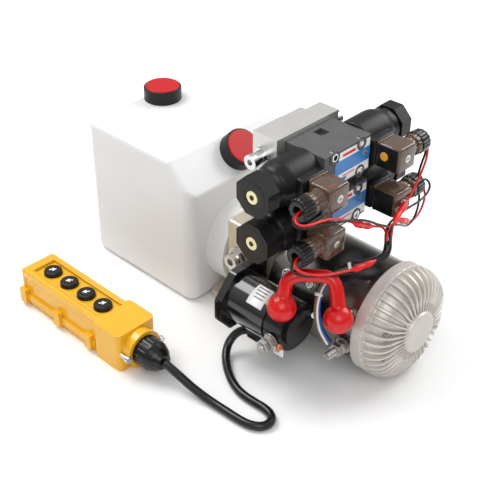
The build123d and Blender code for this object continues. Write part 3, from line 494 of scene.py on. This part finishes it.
# Radii in millimetres and the twist in degrees; spans and places are metres along the loom.
WIRE_COLOURS = ("wire_black", "lead_blue", "lead_white", "lead_brown", "wire_black", "wire_black")
WIRE_RADIUS, WIRE_OFFSET, LOOM_TWIST = 1.3, 2.62, 150
SHEATH_SPAN = (0.004, 0.046)
TIES = (0.050, 0.094)
TIE_WIDTH = 0.003


def loom():
    """The harness: six insulated wires twisted together, a short ribbed sheath at the top and two ties."""
    guide = nurbs("loom_guide", LOOM, 8.0, "cord_black")
    line = line_of(guide)
    bpy.data.objects.remove(guide)
    length = sum((b - a).length for a, b in zip(line, line[1:]))
    path = stretch_of(line, 0.0, length - 1e-6, 70)
    verts, faces, owners = [], [], []
    side = axes_of(path[1] - path[0])[1]
    sides = []
    for index, point in enumerate(path):
        along = (path[min(index + 1, len(path) - 1)] - path[max(index - 1, 0)]).normalized()
        side = (side - along * side.dot(along)).normalized()
        sides.append((side.copy(), along.cross(side)))
    for number in range(len(WIRE_COLOURS)):
        strand = []
        for index, (point, (u, v)) in enumerate(zip(path, sides)):
            turn = math.radians(number * 60 + LOOM_TWIST * index / len(path))
            strand.append(point + (u * math.cos(turn) + v * math.sin(turn)) * WIRE_OFFSET * MM)
        new_verts, new_faces = sweep_rings(strand, [WIRE_RADIUS * MM] * len(strand), 10)
        faces += [tuple(i + len(verts) for i in face) for face in new_faces]
        owners += [number] * len(new_faces)
        verts += new_verts
    obj = piece("loom_wires", verts, faces, "wire_black", slot="cord_black", smooth=60)
    for colour in WIRE_COLOURS[1:]:
        obj.data.materials.append(MATS[colour])
    for polygon, owner in zip(obj.data.polygons, owners):
        polygon.material_index = owner
    sheath_line = stretch_of(line, *SHEATH_SPAN, 40)
    ribs = [(4.15 if index % 2 else 3.95) * MM for index in range(len(sheath_line))]
    sheath_verts, sheath_faces = sweep_rings(sheath_line, ribs, 20)
    sheath = piece("loom_sheath", sheath_verts, sheath_faces, "cord_black", smooth=60)
    for number, at in enumerate(TIES):
        band = stretch_of(line, at, at + TIE_WIDTH, 4)
        tie_verts, tie_faces = sweep_rings(band, [4.3 * MM] * 4, 20)
        piece(f"loom_tie_{number + 1}", tie_verts, tie_faces, "lead_white", slot="pin_cream")
    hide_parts("wiring_loom")


# ---- motor end housing ----
MOTOR_Z = 62.0
HOUSING_X = 148.0
FINS = 40
# Share of the fins' run where the gaps start to sink in, and the share that takes.
SINK_FROM, SINK_OVER = 0.02, 0.03
# Half the gap between fins as a share of their pitch, how much it narrows, and a fin's sloping flank.
GAP_HALF, GAP_TAPER, FLANK = 0.30, 0.06, 0.07


def point_along(profile, t):
    """The point at a share t of the length of a profile."""
    lengths = [0.0]
    for a, b in zip(profile, profile[1:]):
        lengths.append(lengths[-1] + math.dist(a, b))
    want = t * lengths[-1]
    index = max(i for i, g in enumerate(lengths[:-1]) if g <= want + 1e-9)
    f = (want - lengths[index]) / max(lengths[index + 1] - lengths[index], 1e-9)
    a, b = profile[index], profile[index + 1]
    return (a[0] + (b[0] - a[0]) * f, a[1] + (b[1] - a[1]) * f)


def end_housing():
    """The cast end: a plain band, then fins that run over the shoulder to a raised disc."""
    outer = rounded([(160.0, 60.0), (170.5, 60.0), (181.5, 53.5), (186.5, 42.0), (187.8, 21.0)], 6.0, 6)
    inner = rounded([(160.0, 56.4), (168.5, 56.4), (177.5, 51.0), (182.5, 40.0), (184.6, 21.0)], 6.0, 6)
    per_fin = 16
    steps = FINS * per_fin
    rows = 46
    verts, faces = [], []

    for row in range(rows):
        t = row / (rows - 1)
        high, low = point_along(outer, t), point_along(inner, t)
        start = min(1.0, max(0.0, (t - SINK_FROM) / SINK_OVER))
        width = GAP_HALF - GAP_TAPER * t
        for step in range(steps):
            phase = (step % per_fin) / per_fin
            away = abs(phase - 0.5)
            rise = min(1.0, max(0.0, (away - width) / FLANK))
            fin = 1.0 - start * (1.0 - rise * rise * (3 - 2 * rise))
            x = low[0] + (high[0] - low[0]) * fin
            r = low[1] + (high[1] - low[1]) * fin
            turn = 2 * math.pi * step / steps
            verts.append(Vector((x, r * math.cos(turn), MOTOR_Z + r * math.sin(turn))) * MM)
    for row in range(rows - 1):
        for step in range(steps):
            a, b = row * steps + step, row * steps + (step + 1) % steps
            faces.append((a, b, b + steps, a + steps))
    fins = piece("end_housing_fins", verts, faces, "cast_aluminium", smooth=55)
    band = [(148.0, 56.2), (148.0, 58.6), (149.2, 60.0), (160.0, 60.0), (160.0, 56.0), (152.0, 55.4)]
    rim = lathe("end_housing_band", [(x - HOUSING_X, r) for x, r in band],
                (HOUSING_X, 0, MOTOR_Z), (1, 0, 0), "cast_aluminium", steps=128)
    disc = rounded([(36.0, 0.0), (36.0, 24.0), (42.2, 21.8), (43.0, 19.5), (42.6, 0.0)], 0.8, 4)
    lathe("end_housing_disc", disc, (HOUSING_X, 0, MOTOR_Z), (1, 0, 0), "cast_aluminium", steps=96)
    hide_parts("motor_end_housing")
    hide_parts("motor_end_housing")


# ---- valves ----
VALVE_ZS = (211.5, 160.7)
VALVE_X = 61.5
COIL_Y = 35.2
NUT_FACE_Y = 108.1
PIN_TIP_Y = 108.9
PLUG_Y = 52.0
PLUG_DROP = 1.5
PLUG_FACE_X = 119.0
GLAND_X = 105.0
LABEL_X = 85.05
BOLT_X, BOLT_Y, BOLT_Z = 85.0, 20.25, 15.5


def coil_shell(number, word, z, side):
    """A moulded coil: round body, domed shoulder and collar, with the plug's pad."""
    profile = rounded([(0.0, 10.6), (0.0, 23.0), (38.0, 23.4), (47.0, 20.5), (49.0, 19.0),
                       (57.8, 19.0), (57.8, 10.6)], 3.0, 5)
    shell = lathe(f"coil_{number}_{word}", profile, (VALVE_X, side * COIL_Y, z), (0, side, 0),
                  "coil_plastic", steps=72)
    low, high = sorted((side * 37.0, side * 71.0))
    pad = block(f"coil_pad_{number}_{word}", (66.0, low, z - 15.0), (90.8, high, z + 12.5),
                "coil_plastic", bevel=3.0)
    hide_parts(f"valve_{number}_coil_{word}")
    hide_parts(f"valve_{number}_coil_{word}")


def fluted(name, rings, centre, side, mat, flutes=12, depth=0.7, **more):
    """A ribbed collar along Y: (distance along, radius) rings with a scalloped outline."""
    verts, faces, steps = [], [], flutes * 8
    x, z = centre
    for distance, radius in rings:
        for step in range(steps):
            turn = 2 * math.pi * step / steps
            r = radius - depth * max(0.0, math.cos(flutes * turn)) ** 3
            verts.append(Vector((x + r * math.cos(turn), side * distance, z + r * math.sin(turn))) * MM)
    for ring in range(len(rings) - 1):
        for step in range(steps):
            a, b = ring * steps + step, ring * steps + (step + 1) % steps
            faces.append((a, b, b + steps, a + steps))
    faces.append(tuple(range(steps)))
    return piece(name, verts, faces, mat, **more)


def plug_details(number, word, z, side):
    """A smoked connector cube with its base, dark core, ribbed gland, black nut and centre screw."""
    node = f"plug_{number}_{word}"
    z -= PLUG_DROP
    low, high = sorted((side * 38.2, side * 65.8))
    cube = block(f"{node}_cube", (92.2, low, z - 13.3), (118.9, high, z + 13.3), "smoked_plastic",
                 bevel=2.6, segments=4)
    low, high = sorted((side * 39.0, side * 64.0))
    block(f"{node}_base", (90.9, low, z - 14.0), (93.6, high, z + 14.0), "smoked_plastic", bevel=0.8)
    low, high = sorted((side * 41.5, side * 62.0))
    block(f"{node}_core", (93.8, low, z - 9.5), (107.0, high, z + 9.5), "coil_plastic", bevel=1.2,
          slot="smoked_plastic")
    if side > 0:
        block(f"{node}_inner", (92.4, 37.7, z - 12.2), (116.5, 38.8, z + 12.2), "coil_plastic",
              bevel=0.4, slot="smoked_plastic")
    if side < 0:
        block(f"{node}_strip", (107.2, -58.0, z + 5.4), (110.0, -47.0, z + 8.2), "lead_red",
              bevel=0.6, slot="smoked_plastic")
    neck = [(62.0, 11.4), (68.0, 11.0), (70.0, 9.8), (76.0, 9.6), (77.0, 11.2), (81.8, 11.2)]
    fluted(f"{node}_gland", neck, (GLAND_X, z), side, "smoked_plastic", flutes=10, depth=0.6)
    nut = [(81.8, 10.6), (82.4, 12.1), (93.4, 12.1), (95.2, 11.0), (96.0, 9.2), (95.4, 5.2), (88.0, 5.1)]
    fluted(f"{node}_nut", nut, (GLAND_X, z), side, "gland_black", flutes=14, depth=0.7)
    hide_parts(node)
    lathe(f"{node}_washer", rounded([(-0.4, 2.9), (-0.4, 4.0), (0.45, 4.0), (0.45, 2.9)], 0.2, 2),
          (PLUG_FACE_X, side * PLUG_Y, z), (1, 0, 0), "chrome_steel", steps=40)
    lathe(f"{node}_screw", rounded([(-2.0, 0), (-2.0, 2.8), (0.6, 2.8), (0.9, 2.2), (0.9, 0)], 0.3, 3),
          (PLUG_FACE_X, side * PLUG_Y, z), (1, 0, 0), "steel", steps=40)
    block(f"{node}_slot", (119.6, side * PLUG_Y - 2.2, z - 0.35),
          (120.05, side * PLUG_Y + 2.2, z + 0.35), "button_black", bevel=0.1, segments=1)


def valve_label(number, z):
    """A plain plate with no print: bands, rules and a small cross; and the valve's four bolt rings."""
    plates = (("ground", (-13.5, -17.0), (34.0, 17.0), "label_white", 0.35),
              ("band", (-19.0, -6.5), (34.2, 8.5), "label_blue", 0.6),
              ("rule_top", (-8.0, 11.2), (11.0, 14.2), "lead_red", 0.6),
              ("rule_low", (-6.0, -10.6), (12.0, -9.4), "lead_red", 0.6),
              ("mark_tall", (25.6, -0.5), (27.4, 5.5), "label_gold", 0.8),
              ("mark_wide", (23.0, 1.6), (30.0, 3.4), "label_gold", 0.8),
              ("stamp", (-9.0, -15.0), (-1.0, -11.5), "label_blue", 0.6))
    for part, low, high, mat, depth in plates:
        block(f"label_{number}_{part}", (LABEL_X - 0.3, low[0], z + low[1]),
              (LABEL_X + depth, high[0], z + high[1]), mat, bevel=0.12, segments=1, slot="valve_grey")
    for side, word in SIDES:
        for dz, level in ((-BOLT_Z, "low"), (BOLT_Z, "top")):
            place = (BOLT_X, side * BOLT_Y, z + dz)
            lathe(f"bolt_collar_{number}_{word}_{level}",
                  rounded([(-0.5, 4.9), (-0.5, 7.0), (1.1, 7.0), (1.1, 4.9)], 0.3, 2), place, (1, 0, 0),
                  "valve_grey", steps=40)
            lathe(f"bolt_ring_{number}_{word}_{level}",
                  rounded([(0.2, 2.9), (0.2, 4.6), (1.3, 4.4), (1.3, 3.0)], 0.3, 2), place, (1, 0, 0),
                  "chrome_steel", steps=40)


def nut_faces():
    """A shallow raised rim round each coil nut's pin."""
    for number, z in enumerate(VALVE_ZS, start=1):
        for side, word in SIDES:
            lathe(f"nut_face_{number}_{word}",
                  rounded([(0.0, 7.4), (0.0, 17.6), (0.7, 17.0), (0.7, 7.8), (0.0, 7.4)], 0.3, 2),
                  (VALVE_X, side * NUT_FACE_Y, z), (0, side, 0), "coil_plastic", steps=64)


def valves():
    """Both valves' plates, coils, plugs and pin tips, the nuts' rims and one orange marker."""
    for number, z in enumerate(VALVE_ZS, start=1):
        valve_label(number, z)
        for side, word in SIDES:
            coil_shell(number, word, z, side)
            plug_details(number, word, z, side)
            pin = f"pin_{number}_{word}"
            lathe(f"{pin}_dimple", [(0.0, 2.6), (0.5, 2.6), (0.6, 2.2), (0.6, 0.0)],
                  (VALVE_X, side * PIN_TIP_Y, z), (0, side, 0), "button_black", body=pin, steps=32)
    nut_faces()
    lathe("coil_marker", rounded([(0, 4.6), (1.2, 4.6), (1.4, 3.6), (1.4, 0)], 0.3, 3),
          (101.0, 38.2, 211.0), (0, -1, 0), "disc_orange", slot="pin_cream", steps=40)


# ---- terminal link ----
LINK_ROUTE = [(93, -98, 96), (92, -94, 112), (91, -90, 124), (98, -82, 129), (110, -72.5, 129),
              (121, -63, 129), (129, -62, 123), (135, -65, 107), (140, -68, 92)]
BOOT_CENTRES = ((93, -98.4, 96), (140, -69, 91))
BOOT_RADIUS = 14.7
STRAP_RADIUS, STRAP_SWELL = 6.3, 1.5
VOXEL = 1.1


def terminal_link():
    """The red insulated link: two round boots and a broad bowed strap, moulded in one."""
    route = nurbs("link_guide", LINK_ROUTE, 10.0, "red_vinyl")
    line = line_of(route)
    bpy.data.objects.remove(route)
    count = 40
    points = stretch_of(line, 0.0, sum((b - a).length for a, b in zip(line, line[1:])) - 1e-6, count)
    radii = []
    for index in range(count):
        t = abs(2 * index / (count - 1) - 1)
        radii.append((STRAP_RADIUS + STRAP_SWELL * t) * MM)
    verts, faces = sweep_rings(points, radii, 20)
    work = bmesh.new()
    made = [work.verts.new(v) for v in verts]
    for face in faces:
        work.faces.new([made[i] for i in face])
    for centre in BOOT_CENTRES:
        place = Matrix.Translation(Vector(centre) * MM)
        bmesh.ops.create_uvsphere(work, u_segments=32, v_segments=20, radius=BOOT_RADIUS * MM,
                                  matrix=place)
    mesh = bpy.data.meshes.new("link_raw")
    work.to_mesh(mesh)
    work.free()
    raw = bpy.data.objects.new("link_raw", mesh)
    bpy.context.scene.collection.objects.link(raw)
    remesh = raw.modifiers.new("remesh", "REMESH")
    remesh.mode = "VOXEL"
    remesh.voxel_size = VOXEL * MM
    soften = raw.modifiers.new("soften", "SMOOTH")
    soften.factor = 0.6
    soften.iterations = 5
    final = bpy.data.meshes.new_from_object(raw.evaluated_get(bpy.context.evaluated_depsgraph_get()))
    bpy.data.objects.remove(raw)
    link = piece("terminal_boots", [v.co.copy() for v in final.vertices],
                 [tuple(p.vertices) for p in final.polygons], "red_vinyl", smooth=80)
    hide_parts("terminal_link")


# ---- contactor trim ----
CAN_Y, CAN_Z, CAN_RADIUS = -86.0, 70.0, 27.75
LABEL_THICK = 0.12


def can_patch(name, x0, x1, a0, a1, lift, mat):
    """A thin sheet on the can, between two places along it and two angles round it."""
    steps = 18
    verts, faces = [], []
    for step in range(steps + 1):
        turn = math.radians(a0 + (a1 - a0) * step / steps)
        r = CAN_RADIUS + lift
        for x in (x0, x1):
            verts.append(Vector((x, CAN_Y + r * math.cos(turn), CAN_Z + r * math.sin(turn))) * MM)
    for step in range(steps):
        a = 2 * step
        faces.append((a, a + 1, a + 3, a + 2))
    obj = piece(name, verts, faces, mat, slot="contactor_black")
    solid = obj.modifiers.new("solid", "SOLIDIFY")
    solid.thickness = LABEL_THICK * MM


def contactor_label():
    """A plain white label that wraps the can, with four dark rules and no print."""
    can_patch("contactor_label", 54.0, 74.0, 92.0, 142.0, 0.0, "label_white")
    for number in range(4):
        start = 98.0 + number * 8
        can_patch(f"contactor_rule_{number + 1}", 56.5 + 0.8 * number, 70.5, start, start + 2.2,
                  LABEL_THICK, "magnet_black")


def hex_nut(name, place, direction, start, across, thick, mat="steel"):
    """A six-sided nut with chamfered faces."""
    along, side, up = axes_of(direction)
    base = Vector(place) * MM
    radius = across / 2 / math.cos(math.pi / 6)
    verts, faces = [], []
    for distance, shrink in ((0.0, 0.88), (0.7, 1.0), (thick - 0.7, 1.0), (thick, 0.88)):
        for step in range(6):
            turn = math.radians(60 * step)
            spoke = (side * math.cos(turn) + up * math.sin(turn)) * radius * shrink
            verts.append(base + along * (start + distance) * MM + spoke * MM)
    for ring in range(3):
        for step in range(6):
            a, b = ring * 6 + step, ring * 6 + (step + 1) % 6
            faces.append((a, b, b + 6, a + 6))
    faces += [tuple(range(6)), tuple(range(18, 24))]
    return piece(name, verts, faces, mat, smooth=20)


# Foot, direction, length, and whether the stud stands bare; the other two are under the boots.
STUDS = (((93.0, -112.0, 64.0), (0, -0.985, -0.174), 18.0, True),
         ((93.0, -96.0, 94.0), (0, -0.391, 0.921), 9.0, False),
         ((140.0, -57.5, 52.0), (0, -1, 0), 26.0, True),
         ((140.0, -50.5, 86.5), (0, -0.883, 0.469), 12.0, False))
THREAD_FROM = 14.2


def studs():
    """The four terminal studs with their washers and nuts; two are short, under the boots."""
    for number, (place, direction, length, bare) in enumerate(STUDS, start=1):
        post = lathe(f"stud_{number}", rounded([(0, 0), (0, 4), (length, 4), (length, 0)], 0.6, 3), place,
                     direction, "steel", steps=40)
        if number == 1:
            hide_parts("terminal_studs")
        if bare:
            lathe(f"stud_thread_{number}",
                  [(step * 0.5 + THREAD_FROM, 4.0 + 0.25 * (step % 2))
                   for step in range(int((length - 14.5) * 2))]
                  + [(length - 0.3, 3.0), (THREAD_FROM, 3.0)], place, direction, "steel", steps=40)
        lathe(f"stud_base_{number}", rounded([(0, 0), (0, 8), (1.6, 8), (1.6, 0)], 0.3, 2), place,
              direction, "steel", steps=40)
        hex_nut(f"stud_low_nut_{number}", place, direction, 1.6, 13.0, 5.6)
        if bare:
            hex_nut(f"stud_top_nut_{number}", place, direction, 8.4, 13.0, 5.6)


# Place along the motor and angle round it.
SIDE_BOLTS = ((55.0, 149.0), (87.0, 147.0))
SIDE_BOLT_RADIUS = 56.0


def motor_hardware():
    """The studs' plate and washers, the motor's side bolts, a copper stud, its tab and a tie's head."""
    studs()
    low = STUDS[2][0]
    lathe("stud_plate", rounded([(-3.0, 0), (-3.0, 12.5), (-0.8, 12.5), (-0.8, 0)], 0.5, 3), low,
          (0, -1, 0), "contactor_black", steps=48)
    lathe("stud_washer", rounded([(0, 0), (0, 8.6), (1.7, 8.6), (1.7, 0)], 0.3, 2), low, (0, -1, 0),
          "steel", steps=48)
    lathe("stud_ring", rounded([(0, 4.2), (0, 7.2), (1.4, 7.2), (1.4, 4.2)], 0.3, 2),
          (140.0, -64.8, 52.0), (0, -1, 0), "chrome_steel", steps=48)
    for number, (x, angle) in enumerate(SIDE_BOLTS, start=1):
        turn = math.radians(angle)
        spoke = Vector((0, math.cos(turn), math.sin(turn)))
        place = Vector((x, 0, MOTOR_Z)) + spoke * SIDE_BOLT_RADIUS
        lathe(f"side_bolt_ring_{number}", rounded([(-0.5, 2), (-0.5, 5.8), (1.0, 5.8), (1.0, 2)], 0.3, 2),
              place, spoke, "steel", slot="steel", steps=40)
        lathe(f"side_bolt_{number}", rounded([(0.5, 0), (0.5, 4.4), (4.4, 4.4), (4.4, 2.3), (2.0, 2.2),
                                              (2.0, 0)], 0.4, 3), place, spoke, "chrome_steel", steps=40)
    lathe("control_stud", rounded([(0, 0), (0, 3.6), (4.0, 3.6), (4.4, 2.0), (7.5, 2.0), (7.5, 0)], 0.3, 2),
          (102.0, -109.0, 60.0), (0.2, -0.9, -0.4), "copper", steps=32)
    block("control_tab", (95.5, -111.5, 48.5), (107.5, -110.3, 57.5), "label_white", bevel=0.3,
          slot="head_black")
    lathe("zip_head", rounded([(0, 0), (0, 3.1), (2.6, 3.1), (2.6, 0)], 0.5, 3),
          (109.0, -67.5, 78.0), (0.55, -0.75, 0.35), "lead_white", slot="pin_cream", steps=32)


# ---- pendant ----
BUTTON_XS = (-173.0, -144.0, -115.0, -87.0)
ARROW_TURNS = (55, 235, 235, 55)
ARROW_ZS = (47.9, 48.35)
PENDANT_Y, PENDANT_TOP = -178.0, 45.0


def pendant_rim():
    """The raised lip round the button channel, and rails and posts round the long sides' panels."""
    y, top = PENDANT_Y, PENDANT_TOP
    for side, word in SIDES:
        low, high = sorted((y + side * 13.6, y + side * 15.6))
        block(f"pendant_lip_{word}", (-190.5, low, top - 1.0),
              (-74.0, high, top + 1.3), "pendant_yellow", bevel=0.9)
        low, high = sorted((y + side * 20.2, y + side * 22.0))
        block(f"pendant_rail_{word}", (-202.0, low, 36.5), (-76.0, high, 43.5),
              "pendant_yellow", bevel=0.8)
        for number, x in enumerate((-201.6, -80.0)):
            block(f"pendant_post_{word}_{number + 1}", (x, low, 15.0),
                  (x + 4.0, high, 38.0), "pendant_yellow", bevel=0.8)
    block("pendant_lip_end", (-191.5, y - 15.6, top - 1.0), (-189.3, y + 15.6, top + 1.3),
          "pendant_yellow", bevel=0.9)


def pendant_arrows():
    """A raised white arrow on each button."""
    outline = ((-4.2, 0.8), (-0.6, 0.8), (-0.6, 3.1), (4.2, 0.0), (-0.6, -3.1), (-0.6, -0.8), (-4.2, -0.8))
    for number, (x, turn) in enumerate(zip(BUTTON_XS, ARROW_TURNS), start=1):
        angle = math.radians(turn)
        verts = []
        for z in ARROW_ZS:
            for u, v in outline:
                verts.append(Vector((x + u * math.cos(angle) - v * math.sin(angle),
                                     PENDANT_Y + u * math.sin(angle) + v * math.cos(angle), z)) * MM)
        size = len(outline)
        faces = [tuple(range(size)), tuple(range(size, 2 * size))]
        faces += [(i, (i + 1) % size, size + (i + 1) % size, size + i) for i in range(size)]
        piece(f"arrow_{number}", verts, faces, "label_white", body=f"button_{number}",
              slot="button_black", smooth=20)


def main():
    """Build the scene."""
    studio()
    finish_nodes()
    cords()
    end_housing()
    valves()
    terminal_link()
    contactor_label()
    motor_hardware()
    pendant_rim()
    pendant_arrows()


main()
